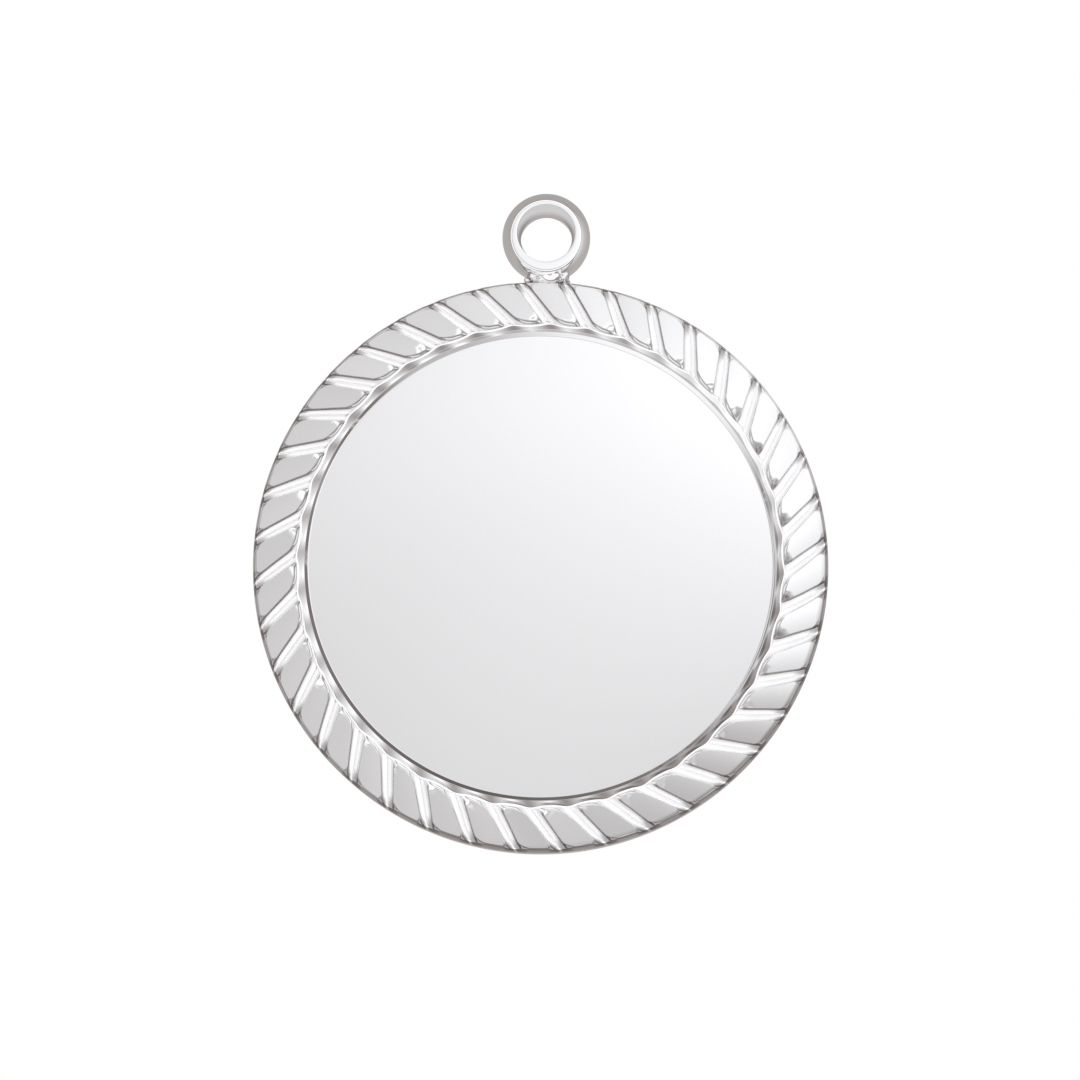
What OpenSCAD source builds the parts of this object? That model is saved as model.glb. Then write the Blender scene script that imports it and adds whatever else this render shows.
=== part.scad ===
// Disc pendant in polished silver: a plain sunk field inside a raised rope border,
// with a small closed hanging ring soldered on the edge.
// It lies on its back at z = 0. +Z comes out of the face and +Y points at the ring.
// The disc, its border, the ring and the solder are one solid piece of metal.

/* [Disc] */
// Outside diameter of the disc
disc_d = 25; // [20:0.5:32]
// Height from the flat back to the top of the rope border
disc_h = 2; // [1.8:0.1:2.4]
// Thickness of the plate under the sunk field
field_h = 1.5; // [1.2:0.05:1.55]
// Radius of the arc that rounds the border into the side of the disc
shoulder_r = 0.75; // [0.6:0.05:0.9]
// Width of that arc, from the tops of the lobes to the side
shoulder_w = 0.22; // [0.16:0.02:0.3]
// Rounding of the edge at the back
edge_r = 0.2; // [0.1:0.02:0.26]

/* [Rope border] */
// Number of slanted lobes around the border
lobes = 40; // [24:1:44]
// Width of the border, from the side of the disc to the field
border_w = 2.4; // [2.3:0.05:2.7]
// Distance from the side of the disc to the inner ends of the lobes
lobe_reach = 1.97; // [1.8:0.01:2]
// Height of the lobes over the ledge that runs round inside them
lobe_h = 0.2; // [0.14:0.02:0.26]
// How far the tops of the lobes fall from their inner ends to the side
lobe_fall = 0.07; // [0:0.01:0.12]
// Depth of the grooves between the lobes
groove_depth = 0.27; // [0.22:0.01:0.36]
// Width of a groove at the tops of the lobes, without its chamfers
groove_w = 0.48; // [0.4:0.02:0.6]
// Width of the chamfer along each side of a lobe
chamfer = 0.05; // [0.03:0.01:0.1]
// Slant of the grooves from the radius, halfway across the lobes
groove_slant = 35.5; // [20:0.5:40]
// Turn of the whole border, so that a lobe stands under the ring
border_turn = 1.2; // [-4:0.1:4]

/* [Hanging ring] */
// Outside diameter of the ring, from side to side
ring_d = 3.88; // [3.6:0.04:4.4]
// How much longer than wide the ring is, along the way to the disc
ring_draw = 0.08; // [0:0.01:0.2]
// Width of the hole where it is narrowest
ring_hole_d = 2.25; // [2:0.05:2.5]
// Depth of the ring from front to back
ring_deep = 2.3; // [1.9:0.1:2.4]
// Widening of the hole at the front of the ring
ring_flare = 0.18; // [0.1:0.02:0.2]
// How far behind the middle of the ring its hole is narrowest
ring_hole_low = 0.3; // [0:0.05:0.4]
// How far the outside of the ring is rounded in at each face
ring_round = 0.42; // [0.36:0.02:0.5]
// From the centre of the disc to the centre of the lower half of the ring
ring_rise = 14.5; // [14.2:0.05:14.55]
// Sideways place of the ring, which is soldered a little off the middle
ring_shift = 0.26; // [-0.5:0.02:0.5]

/* [Hidden] */
fine = 128;
disc_r = disc_d / 2;
field_r = disc_r - border_w;
lobe_in_r = disc_r - lobe_reach;
lobe_mid_r = (disc_r + lobe_in_r) / 2;
ledge_h = disc_h - lobe_h;
pitch = 360 / lobes;
ring_r = ring_d / 2;
ring_hole_r = ring_hole_d / 2;
// Tools that cut an edge overshoot it by this much
over = 0.3;
// An edge's arc is this much larger than its corner, so that it crosses both faces
arc_ease = 1.04;
// The steps from the field up to the feet of the lobes, as shares of their whole width and height:
// a bevel, a terrace, a second bevel and a narrow ledge
STEPS = [[0, 0], [0.35, 0.45], [0.55, 0.54], [0.83, 0.9], [1, 1]];

// Radius of the arc that falls back by sag at a distance half from its middle
function arc_radius(half, sag) = (half * half + sag * sag) / (2 * sag);

// What is cut off a square corner at the origin, whose metal lies at -x and -y
module corner_cut(r) {
    difference() {
        translate([-r, -r]) square(r + over);
        translate([-r, -r]) circle(r = r * arc_ease, $fn = fine);
    }
}

// What is cut off the front of the disc, where its border is rounded into the side
module shoulder_cut() {
    inset = shoulder_r - shoulder_w;
    arc_h = disc_h - sqrt(shoulder_r * shoulder_r - inset * inset);
    translate([disc_r - shoulder_r, arc_h])
        difference() {
            square(shoulder_r + over);
            circle(r = shoulder_r + 0.004, $fn = fine);
        }
}

// Half section of the disc, before its edges are rounded
module disc_outline() {
    // Plate, with the steps up to the feet of the lobes
    steps_w = lobe_in_r - field_r;
    steps_h = ledge_h - field_h;
    polygon([
        [0, 0],
        [disc_r, 0],
        [disc_r, ledge_h],
        for (i = [4:-1:0]) [field_r + steps_w * STEPS[i][0], field_h + steps_h * STEPS[i][1]],
        [0, field_h]
    ]);
    // Band that the lobes are cut from
    polygon([
        [lobe_in_r, ledge_h - 0.1],
        [disc_r, ledge_h - 0.1],
        [disc_r, disc_h - lobe_fall],
        [lobe_in_r, disc_h]
    ]);
}

module disc_section() {
    difference() {
        disc_outline();
        shoulder_cut();
        translate([disc_r, 0]) mirror([0, 1]) corner_cut(edge_r);
        translate([lobe_in_r, disc_h]) mirror([1, 0]) corner_cut(lobe_h * 0.7);
    }
}

// Section across one groove: a round channel, and a chamfer along both lobes
module groove_section() {
    channel_r = arc_radius(groove_w / 2, groove_depth);
    top_half = groove_w / 2 + chamfer;
    translate([0, channel_r - groove_depth]) circle(r = channel_r, $fn = fine);
    polygon([
        [-top_half - over, over],
        [-top_half, 0],
        [-top_half + 2 * chamfer, -2 * chamfer],
        [top_half - 2 * chamfer, -2 * chamfer],
        [top_half, 0],
        [top_half + over, over]
    ]);
}

// One straight groove, laid across the border at its slant
module groove() {
    out_run = 1.7;
    in_run = 2.1;
    translate([0, lobe_mid_r, disc_h])
        rotate([0, 0, groove_slant])
            translate([0, out_run, 0])
                rotate([90, 0, 0]) linear_extrude(out_run + in_run) groove_section();
}

// Disc with its sunk field and the rope border
module disc() {
    color("silver")
        difference() {
            rotate_extrude($fn = fine) disc_section();
            for (i = [0:lobes - 1])
                rotate([0, 0, border_turn - i * pitch]) groove();
        }
}

// Half section of the ring without its hole, with its middle on the x axis
module ring_section() {
    outer = arc_radius(ring_deep / 2, ring_round);
    intersection() {
        translate([0, -ring_deep / 2]) square([ring_r, ring_deep]);
        translate([ring_r - outer, 0]) circle(r = outer, $fn = fine);
    }
}

// Half section of what is cut out for the hole, on the same line
module hole_section() {
    inner = arc_radius(ring_deep / 2 + ring_hole_low, ring_flare + 0.02);
    tall = ring_deep + 2 * over;
    difference() {
        translate([0, -tall / 2]) square([ring_hole_r + 2 * ring_flare, tall]);
        intersection() {
            translate([ring_hole_r, -tall]) square(2 * tall);
            translate([ring_hole_r - 0.02 + inner, -ring_hole_low]) circle(r = inner, $fn = fine);
        }
    }
}

// Upper half of a round ring, without its hole
module ring_half() {
    intersection() {
        rotate_extrude($fn = fine) ring_section();
        translate([-ring_r - over, 0, -ring_deep]) cube([ring_d + 2 * over, ring_r + over, 2 * ring_deep]);
    }
}

// Outside of the ring, its two halves set a little apart
module ring_blank() {
    rotate([0, 0, 180]) ring_half();
    translate([0, ring_draw, 0]) {
        ring_half();
        rotate([90, 0, 0])
            linear_extrude(ring_draw) {
                ring_section();
                mirror([1, 0]) ring_section();
            }
    }
}

module hanging_ring() {
    color("silver")
        translate([ring_shift, ring_rise, ring_deep / 2])
            difference() {
                ring_blank();
                translate([0, ring_draw / 2, 0]) rotate_extrude($fn = fine) hole_section();
            }
}

// Solder between the ring and the disc: a core that joins them, and lumps at its face and back.
// Each row is [sideways, along the radius, height, radius], from the ring's foot
SOLDER = [
    [-0.72, 0.06, 1.4, 0.25],
    [-0.46, 0.26, 1.52, 0.3],
    [-0.1, 0.3, 1.62, 0.28],
    [0.28, 0.26, 1.58, 0.32],
    [0.68, 0.24, 1.5, 0.3],
    [0.84, 0.03, 1.4, 0.22],
    [-0.4, 0.14, 0.62, 0.44],
    [0.46, 0.12, 0.6, 0.46]
];

module solder_joint() {
    core = [1.6, 0.56, 1.2];
    foot = disc_r;
    color("silver")
        translate([ring_shift, foot, 0]) {
            translate([-core[0] / 2, -core[1] / 2, 0.4]) cube(core);
            for (lump = SOLDER)
                translate([lump[0], lump[1], lump[2]]) sphere(r = lump[3], $fn = 48);
        }
}

module disc_pendant() {
    union() {
        disc();
        hanging_ring();
        solder_joint();
    }
}

disc_pendant();
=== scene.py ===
# Disc pendant in polished silver: a sunk field in a rope border, with a closed ring soldered on its edge.
# It lies on its back. +Z comes out of the face, +Y points at the ring, and every length is in metres.
import math

import bmesh
import bpy
from bpy.props import FloatProperty, FloatVectorProperty, IntProperty, PointerProperty
from mathutils import Matrix, Vector, noise
from mathutils.geometry import interpolate_bezier


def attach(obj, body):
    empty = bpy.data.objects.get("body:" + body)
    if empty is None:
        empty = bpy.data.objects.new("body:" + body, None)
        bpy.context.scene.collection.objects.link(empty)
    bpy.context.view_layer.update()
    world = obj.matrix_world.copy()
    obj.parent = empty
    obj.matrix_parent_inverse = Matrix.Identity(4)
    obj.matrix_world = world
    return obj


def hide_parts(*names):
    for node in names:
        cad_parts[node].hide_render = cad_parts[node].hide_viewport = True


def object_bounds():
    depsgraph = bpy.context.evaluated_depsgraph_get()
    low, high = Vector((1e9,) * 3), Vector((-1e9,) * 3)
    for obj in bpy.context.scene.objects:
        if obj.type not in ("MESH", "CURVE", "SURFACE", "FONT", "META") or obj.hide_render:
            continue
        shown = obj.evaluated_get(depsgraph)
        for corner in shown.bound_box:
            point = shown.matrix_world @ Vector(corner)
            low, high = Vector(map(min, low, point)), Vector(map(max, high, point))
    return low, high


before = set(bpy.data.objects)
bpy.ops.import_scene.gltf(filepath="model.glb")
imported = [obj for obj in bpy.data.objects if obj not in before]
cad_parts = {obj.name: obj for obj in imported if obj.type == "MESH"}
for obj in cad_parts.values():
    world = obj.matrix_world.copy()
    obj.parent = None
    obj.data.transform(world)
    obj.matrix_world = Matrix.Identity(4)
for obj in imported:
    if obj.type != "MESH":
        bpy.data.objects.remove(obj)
CAD_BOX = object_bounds()

bl_info = {
    "name": "Disc Pendant",
    "version": (1, 0, 0),
    "blender": (4, 5, 0),
    "location": "View3D > Sidebar > Pendant",
    "description": "Builds a silver disc pendant with a rope border and a soldered ring",
    "category": "Object",
}

NODE = "disc_pendant"
BODY = "root"
SILVER = "polished_silver"
MM = 0.001
UP = Vector((0, 0, 1))
# Points that are closer than this are one point
MERGE = 0.0002 * MM
# Names of the point attributes that say how much painted shade and tarnish darken the silver, and how
# unpolished it is, at a point
SHADE_AND_TARNISH = "shade_and_tarnish"
CAST = "cast"


def length(name, default, description, low=0.0, high=1.0):
    """A size in metres, as a property."""
    return FloatProperty(
        name=name,
        default=default,
        description=description,
        min=low,
        max=high,
        precision=6,
        unit="LENGTH",
        subtype="DISTANCE",
    )


def turn(name, degrees, description):
    """An angle, as a property."""
    return FloatProperty(
        name=name,
        default=math.radians(degrees),
        description=description,
        unit="ROTATION",
        subtype="ANGLE",
    )


def share(name, default, description, high=1.0):
    """A plain number from nought upwards, as a property."""
    return FloatProperty(name=name, default=default, description=description, min=0.0, max=high)


def colour(name, default, description):
    """A colour, as a property."""
    return FloatVectorProperty(
        name=name,
        default=default,
        description=description,
        subtype="COLOR",
        size=3,
        min=0.0,
        max=1.0,
    )


class DiscSizes(bpy.types.PropertyGroup):
    """Sizes of the turned disc, without its lobes."""

    radius: length("Radius", (CAD_BOX[1].x - CAD_BOX[0].x) / 2, "Outside radius of the disc")
    height: length("Height", 2.0 * MM, "From the back to the tops of the lobes")
    border_width: length("Border width", 2.4 * MM, "From the side of the disc to the sunk field")
    low_bevel: length("Low bevel", 0.15 * MM, "Width of the bevel that rises from the field")
    terrace: length("Terrace", 0.085 * MM, "Width of the terrace between the two bevels")
    high_bevel: length("High bevel", 0.12 * MM, "Width of the bevel that rises to the ledge")
    bevel_slope: turn("Bevel slope", 42, "Slope of the two bevels")
    terrace_slope: turn("Terrace slope", 16, "Slope of the terrace")
    ledge_slope: turn("Ledge slope", 22, "Slope of the ledge between the bevels and the lobes")
    shoulder: length("Shoulder radius", 0.75 * MM, "Radius of the arc that rounds the border into the side")
    shoulder_width: length("Shoulder width", 0.22 * MM, "From the tops of the lobes out to the side")
    edge: length("Edge rounding", 0.2 * MM, "Rounding of the edge at the back")


class RopeSizes(bpy.types.PropertyGroup):
    """Sizes of the slanted lobes and the grooves between them."""

    lobes: IntProperty(name="Lobes", default=40, min=8, description="Lobes around the border")
    reach: length("Reach", 1.97 * MM, "From the side of the disc to the inner ends of the lobes")
    margin: length("Margin", 0.02 * MM, "From the side of the disc to the outer ends of the lobes")
    height: length("Height", 0.2 * MM, "Height of the lobes over the ledge and the rims of the grooves")
    groove_half: length("Groove half width", 0.195 * MM, "Half width of a groove between the lobes' feet")
    taper: share("Taper", 0.033, "How much each half of a groove widens inwards, for each length of it")
    groove_dip: length("Groove dip", 0.08 * MM, "How far a groove dips between the feet of the lobes")
    side_wall: length("Side wall", 0.08 * MM, "Width of the wall along the sides of a lobe")
    end_wall: length("End wall", 0.15 * MM, "Width of the wall at the inner end of a lobe")
    inner_corner: length("Blunt inner corner", 0.32 * MM, "Rounding of the blunt corner at the inner end")
    outer_corner: length("Blunt outer corner", 0.3 * MM, "Rounding of the blunt corner at the outer end")
    sharp_corner: length("Sharp corners", 0.12 * MM, "Rounding of the two sharp corners")
    facet: length("Facet", 0.58 * MM, "Size of the facet at the sharp inner corner")
    facet_slope: turn("Facet slope", 14, "Slope of that facet")
    scallop: length("Scallop", 0.1 * MM, "How far the high bevel reaches out at the end of each groove")
    lean: turn("Lean", 2.3, "Outward lean of the tops of the lobes")
    pillow: length("Pillow radius", 24 * MM, "Radius of the soft crown across one lobe")
    slant: turn("Slant", 35.5, "Slant of the grooves from the radius, halfway out the lobes")
    start: turn("Start", -1.2, "Turn of the first groove from the ring, halfway out the lobes")
    unevenness: share("Unevenness", 1.0, "How much the lobes differ, as after finishing by hand", high=4.0)


class RingSizes(bpy.types.PropertyGroup):
    """Sizes of the hanging ring."""

    radius: length("Radius", 1.934 * MM, "Outside radius of the ring")
    hole: length("Hole radius", 1.125 * MM, "Radius of the hole at its narrow middle")
    deep: length("Depth", CAD_BOX[1].z - CAD_BOX[0].z, "From the front to the back of the ring")
    draw: length("Draw", 0.08 * MM, "How much longer than wide the ring is, along the way to the disc")
    flare: length("Flare", 0.17 * MM, "How far the hole widens at the front")
    hole_low: length("Hole low", 0.3 * MM, "How far behind the middle of the ring its hole is narrowest")
    droop: length("Droop", 0.12 * MM, "How far the front edge of the outside lies nearer to the disc")
    rounding: length("Rounding", 0.4 * MM, "How far the outside is rounded in at each face")
    edge: length("Edge", 0.1 * MM, "Rounding of the edge between the outside and each face")
    lip: length("Lip", 0.015 * MM, "Rounding of the edge of the hole")
    rise: length("Rise", 14.5 * MM, "From the centre of the disc to the centre of the ring")
    shift: length("Shift", 0.26 * MM, "Sideways place of the ring")


class SolderSizes(bpy.types.PropertyGroup):
    """Sizes of the solder at the foot of the ring."""

    grain: length("Grain", 0.025 * MM, "Size of the steps that the lumps are fused at")
    crumple: length("Crumple", 0.03 * MM, "Depth of the folds in the solder")


class SilverFinish(bpy.types.PropertyGroup):
    """Colours and polish of the metal."""

    bright: colour("Silver", (0.925, 0.925, 0.925), "Colour of the polished silver")
    # The dark colour that the painted shade and the thin tarnish turn the silver towards
    dull: colour("Painted shade and tarnish", (0.2, 0.176, 0.166), "Colour of the painted shade and thin tarnish in the recesses")
    roughness: share("Roughness", 0.045, "Roughness of the polish")
    cast_roughness: share("Cast roughness", 0.32, "Roughness added where the casting isn't polished")


class StageSizes(bpy.types.PropertyGroup):
    """The camera, the floor and the light."""

    distance: length("Camera distance", 150 * MM, "From the camera to the point that it aims at")
    tilt: turn("Camera tilt", 7.5, "Tilt of the view from straight down, towards the foot of the picture")
    lean: turn("Camera lean", 0.7, "Tilt of the view from straight down, towards the right")
    aim_side: length("Aim sideways", -0.021 * MM, "How far right of the disc the camera aims", low=-1.0)
    aim_up: length("Aim up", 1.142 * MM, "How far above the middle of the disc it aims", low=-1.0)
    frame_width: length("Frame width", 47.115 * MM, "Width of the picture at the point aimed at")
    floor_radius: length("Floor radius", 3.0, "Radius of the floor", high=10.0)
    shade_radius: length("Shade radius", 32 * MM, "How far out the floor that the metal mirrors grows dark")
    grey: colour("Mirrored floor", (0.47, 0.445, 0.435), "Colour of the floor that the metal mirrors")
    dark: colour("Far floor", (0.3, 0.278, 0.27), "Colour of the floor that the metal mirrors, far off")
    hole: colour("Light in the hole", (0.66, 0.65, 0.65), "Colour of the mirrored floor inside the ring")
    hole_drop: length("Light drop", 0.3 * MM, "How far below the middle of the ring that light lies")
    patch: colour("Bright floor", (0.85, 0.845, 0.845), "Colour of a bright patch of the mirrored floor")
    patch_radius: length("Bright patch radius", 12 * MM, "Radius of that bright patch")
    patch_distance: length("Bright patch distance", 21 * MM, "From the centre of the disc to that patch")
    patch_direction: turn("Bright patch direction", 48, "Direction of that patch, clockwise from the ring")


def fill_mesh(mesh, bm):
    """Moves what was modelled into a mesh, and shades it smoothly."""
    bm.to_mesh(mesh)
    bm.free()
    for face in mesh.polygons:
        face.use_smooth = True


def mesh_piece(name, bm, material, stage=False):
    """A finished mesh becomes an object, which rides on the pendant unless it is part of the stage."""
    mesh = bpy.data.meshes.new(name)
    fill_mesh(mesh, bm)
    mesh.materials.append(material)
    piece = bpy.data.objects.new(name, mesh)
    bpy.context.scene.collection.objects.link(piece)
    if stage:
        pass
    else:
        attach(piece, BODY)
        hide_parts(NODE)
    return piece


def tidy_shell(bm):
    """Closes the seam and the poles of a spun shell, and turns its faces outwards."""
    bmesh.ops.remove_doubles(bm, verts=bm.verts, dist=MERGE)
    bmesh.ops.recalc_face_normals(bm, faces=bm.faces)


def spin_section(bm, points, steps, centre=Vector()):
    """Spins a half section, given as (radius, height) points, right round the upright axis at centre."""
    verts = [bm.verts.new(centre + Vector((0, r, z))) for r, z in points]
    edges = [bm.edges.new(pair) for pair in zip(verts, verts[1:])]
    bmesh.ops.spin(
        bm,
        geom=verts + edges,
        cent=centre,
        axis=UP,
        angle=2 * math.pi,
        steps=steps,
        use_merge=True,
    )
    tidy_shell(bm)


def spin_pattern(bm, points, steps, repeats):
    """Spins an open half section through one pitch, repeats that right round, and closes front and back."""
    verts = [bm.verts.new((0, r, z)) for r, z in points]
    edges = [bm.edges.new(pair) for pair in zip(verts, verts[1:])]
    pitch = 2 * math.pi / repeats
    bmesh.ops.spin(bm, geom=verts + edges, cent=Vector(), axis=UP, angle=pitch, steps=steps)
    bmesh.ops.spin(
        bm,
        geom=bm.verts[:] + bm.edges[:] + bm.faces[:],
        cent=Vector(),
        axis=UP,
        angle=2 * math.pi - pitch,
        steps=repeats - 1,
        use_duplicate=True,
    )
    bmesh.ops.remove_doubles(bm, verts=bm.verts, dist=MERGE)
    bmesh.ops.holes_fill(bm, edges=[edge for edge in bm.edges if edge.is_boundary], sides=0)


def arc(centre, radius, first, last, steps):
    """Points of an arc from the angle first to last, in degrees, both ends included."""
    angles = [math.radians(first + (last - first) * i / steps) for i in range(steps + 1)]
    return [(centre[0] + radius * math.cos(a), centre[1] + radius * math.sin(a)) for a in angles]


def spaced(first, last, steps):
    """Numbers from first towards last in equal steps, without last."""
    return [first + (last - first) * i / steps for i in range(steps)]


def arc_radius(half, sag):
    """Radius of the arc that falls back by sag at a distance half from its middle."""
    return (half * half + sag * sag) / (2 * sag)


def soft_min(a, b, blend):
    """The smaller of two numbers, with the corner where they cross rounded off."""
    near = max(blend - abs(a - b), 0.0) / blend
    return min(a, b) - near * near * blend / 4


def ease(t):
    """Rises smoothly from 0 at t = 0 to 1 at t = 1, and stays level outside."""
    kept = min(max(t, 0.0), 1.0)
    return kept * kept * (3 - 2 * kept)


def bell(off, width):
    """1 where off is nought, falling smoothly on both sides to 0.37 at a width away."""
    return math.exp(-((off / width) ** 2))


def nearness(angle, direction, width):
    """How near an angle in radians lies to a direction in degrees: 1 at it, and 0.37 at a width away."""
    return bell(math.remainder(math.degrees(angle) - direction, 360), width)


def varied(level, angle, *changes):
    """A level that changes near some directions: each change is (amount, direction, width)."""
    for amount, direction, width in changes:
        level += amount * nearness(angle, direction, width)
    return level


# How the lobes differ, as on a hand-finished casting: for each kind, its row in the noise and its size
UNEVEN = {
    "height": (1, 0.012 * MM),
    "tilt across": (2, 0.03),
    "tilt outwards": (3, 0.02),
    "length": (4, 0.012),
    "width": (5, 0.06),
    "place": (6, 0.04 * MM),
    "facet": (7, 0.4),
}


class RopeBorder:
    """Works out the shape of the rope border: its bevels, ledge and grooves and the tops of its lobes."""

    # Columns of the turned disc across half a groove, and from one groove to the next
    half_groove_columns = 5
    columns = 26
    # How far the middle of an even lobe lies below the height of the disc
    crown_drop = 0.03 * MM

    def __init__(self, disc, rope):
        self.lobes = rope.lobes
        self.pitch = 2 * math.pi / rope.lobes
        self.radius = disc.radius
        self.top = disc.height
        self.inner = disc.radius - rope.reach
        self.outer = disc.radius - rope.margin
        self.middle = (disc.radius + self.inner) / 2
        self.foot = disc.height - rope.height
        self.slant = rope.slant
        self.start = rope.start
        self.half = rope.groove_half
        self.taper = rope.taper
        self.dip = rope.groove_dip
        self.side_wall = rope.side_wall
        self.end_wall = rope.end_wall
        self.inner_corner = rope.inner_corner
        self.outer_corner = rope.outer_corner
        self.sharp = rope.sharp_corner
        self.facet = rope.facet
        self.facet_slope = math.tan(rope.facet_slope)
        self.scallop = rope.scallop
        self.lean = math.tan(rope.lean)
        self.pillow = rope.pillow
        self.unevenness = rope.unevenness
        # A straight groove passes the centre of the disc at this distance
        self.offset = self.middle * math.sin(rope.slant)
        self.groove_share = self.half / (self.middle * self.pitch * math.cos(rope.slant))
        self.round_shoulder(disc)
        self.step_up(disc)

    def round_shoulder(self, disc):
        """Sets the arc that rounds the border into the side, and where the tops of the lobes meet it."""
        self.shoulder = disc.shoulder
        self.shoulder_in = disc.radius - disc.shoulder_width
        self.shoulder_height = disc.height - math.sqrt(
            disc.shoulder**2 - (disc.shoulder - disc.shoulder_width) ** 2
        )
        top_there = self.top - self.crown_drop - (self.shoulder_in - self.middle) * self.lean
        crease = math.sqrt(disc.shoulder**2 - (top_there - self.shoulder_height) ** 2)
        self.crease = disc.radius - disc.shoulder + crease
        self.rim_wall = self.outer - self.crease

    def step_up(self, disc):
        """Sets the section from the field to the feet of the lobes, found from the feet inwards."""
        self.field_r = disc.radius - disc.border_width
        self.terrace_r = self.field_r + disc.low_bevel
        self.bevel_r = self.terrace_r + disc.terrace
        self.ledge_r = self.bevel_r + disc.high_bevel
        self.rise = [(self.inner, self.foot)]
        for r, slope in (
            (self.ledge_r, disc.ledge_slope),
            (self.bevel_r, disc.bevel_slope),
            (self.terrace_r, disc.terrace_slope),
            (self.field_r, disc.bevel_slope),
        ):
            last_r, last_z = self.rise[0]
            self.rise.insert(0, (r, last_z - (last_r - r) * math.tan(slope)))
        self.field = self.rise[0][1]

    def skew(self, r):
        """How far round a groove has moved at the radius r, from where it crosses the middle."""
        kept = min(max(r, self.field_r), self.radius)
        return math.asin(self.offset / kept) - self.slant

    def spread(self, column):
        """Place of a column inside its pitch, from 0 to 1, close together in the grooves."""
        half = self.half_groove_columns
        if column <= half:
            return self.groove_share * column / half
        if column >= self.columns - half:
            return 1 - self.groove_share * (self.columns - column) / half
        return self.groove_share + (1 - 2 * self.groove_share) * (column - half) / (self.columns - 2 * half)

    def uneven(self, lobe, kind):
        """How much one lobe differs from an even one, up to about half the size of that kind."""
        row, size = UNEVEN[kind]
        # Each lobe has its own place in each row, far enough from its neighbours'
        place = Vector((lobe * 2.37, row * 5.1, 0.7))
        return size * self.unevenness * noise.noise(place)

    def distances(self, spot, lobe=0):
        """How far a spot lies past the groove before a lobe, and how far short of the groove after it."""
        before = self.start - self.slant + lobe * self.pitch
        after = before + self.pitch
        return (
            spot.x * math.cos(before) - spot.y * math.sin(before) - self.offset,
            self.offset - spot.x * math.cos(after) + spot.y * math.sin(after),
        )

    def half_width(self, r):
        """Half the width of a groove between the feet of its two lobes, at the radius r."""
        return self.half - self.taper * (r - self.middle)

    def floor(self, r, past):
        """Height of the border without its lobes, at a radius and a distance past the middle of a groove."""
        z = self.foot
        for (r0, z0), (r1, z1) in zip(self.rise, self.rise[1:]):
            if r < r1:
                z = z0 + (z1 - z0) * (r - r0) / (r1 - r0)
                break
        near = max(0.0, 1 - abs(past) / self.half_width(r))
        # Rounds the bottom of the groove
        soft = 0.2
        dip = self.dip * (math.sqrt(near * near + soft * soft) - soft)
        return z - dip * ease((r - self.ledge_r) / (0.25 * MM))

    def leaving(self, past):
        """How strongly the end of a groove widens the bevels, at a distance past the groove's middle."""
        return bell(past + 0.5 * self.half, 1.5 * self.half)

    def soft_bevel(self, r, past, angle):
        """How much lower the head of the high bevel lies at the left, between the ends of the grooves."""
        climb = (r - self.bevel_r) / (self.ledge_r - self.bevel_r)
        fall = (self.inner - r) / (self.inner - self.ledge_r)
        near = max(min(climb, fall), 0.0)
        return 0.028 * MM * near * nearness(angle, 240, 60) * (1 - self.leaving(past))

    def scalloped(self, r, past):
        """The radius r, moved out where the end of a groove widens the high bevel."""
        climb = ease((r - self.terrace_r) / (self.ledge_r - self.terrace_r))
        swell = climb * (1 - ease((r - self.ledge_r) / (0.3 * MM)))
        return r + self.scallop * self.leaving(past) * swell

    def off_centre(self, r, angle):
        """The radius r, moved out on the low bevel, which is narrow at the two sides."""
        if not self.field_r - MERGE < r < self.terrace_r:
            return r
        wide = varied(1.0, angle, (-0.5, 103, 30), (-0.35, 292, 24))
        return self.terrace_r - (self.terrace_r - r) * wide

    def shoulder_top(self, r, angle):
        """Height of the arc that rounds the border into the side, which is rubbed down a little unevenly."""
        rubbed = 0.01 * MM * math.cos(angle - math.radians(150)) * (self.radius - r)
        rubbed /= self.radius - self.shoulder_in
        out = min(max(r - self.radius + self.shoulder + rubbed, 0.0), self.shoulder)
        return self.shoulder_height + math.sqrt(self.shoulder**2 - out**2)

    def groove_end(self, r, angle):
        """Height that the ends of the grooves roll over at, down to the side."""
        share = (self.foot - self.shoulder_height) / (self.top - self.shoulder_height)
        return self.shoulder_height + share * (self.shoulder_top(r, angle) - self.shoulder_height)

    def up_the_wall(self, spot):
        """Place on the wall of the first lobe: 0 at its foot, 1 at its upper edge, and more on the top."""
        r = spot.length
        before, after = self.distances(spot)
        half = self.half_width(r)
        end = r - self.inner
        rim = self.outer - r
        blunt_in = soft_min(before - half, end, self.inner_corner)
        blunt_out = soft_min(after - half, rim, self.outer_corner)
        inside = soft_min(blunt_in, blunt_out, self.sharp)
        # The wall's width changes over this distance, from a side's to the inner end's and to the rim's
        change = 0.25 * MM
        wall = self.side_wall
        wall += (self.end_wall - self.side_wall) * (1 - ease((end - 0.16 * MM) / change))
        wall += (self.rim_wall - self.side_wall) * (1 - ease((rim - 0.18 * MM) / change))
        return inside / wall

    def past_side(self, spot):
        """How far a spot lies inside the sides of the first lobe, counted in widths of their walls."""
        return (min(self.distances(spot)) - self.half_width(spot.length)) / self.side_wall

    def rim_share(self, spot):
        """How far a spot on the wall of the first lobe belongs to its outer end, from 0 to 1."""
        rim = (self.outer - spot.length) / self.rim_wall
        return ease(0.5 + (self.past_side(spot) - rim) / 2.5)

    def corner_share(self, spot):
        """How near a spot on the wall of the first lobe lies to one of its outer corners, from 0 to 1."""
        outside = ease((spot.length - self.crease + 0.2 * MM) / (0.1 * MM))
        return (1 - ease((self.past_side(spot) - 2) / 4)) * outside

    def facet_cut(self, spot, lobe):
        """How far a spot lies inside the facet at the sharp inner corner of a lobe."""
        r = spot.length
        _, after = self.distances(spot, lobe)
        cut = self.facet * (1 + self.uneven(lobe, "facet"))
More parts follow.
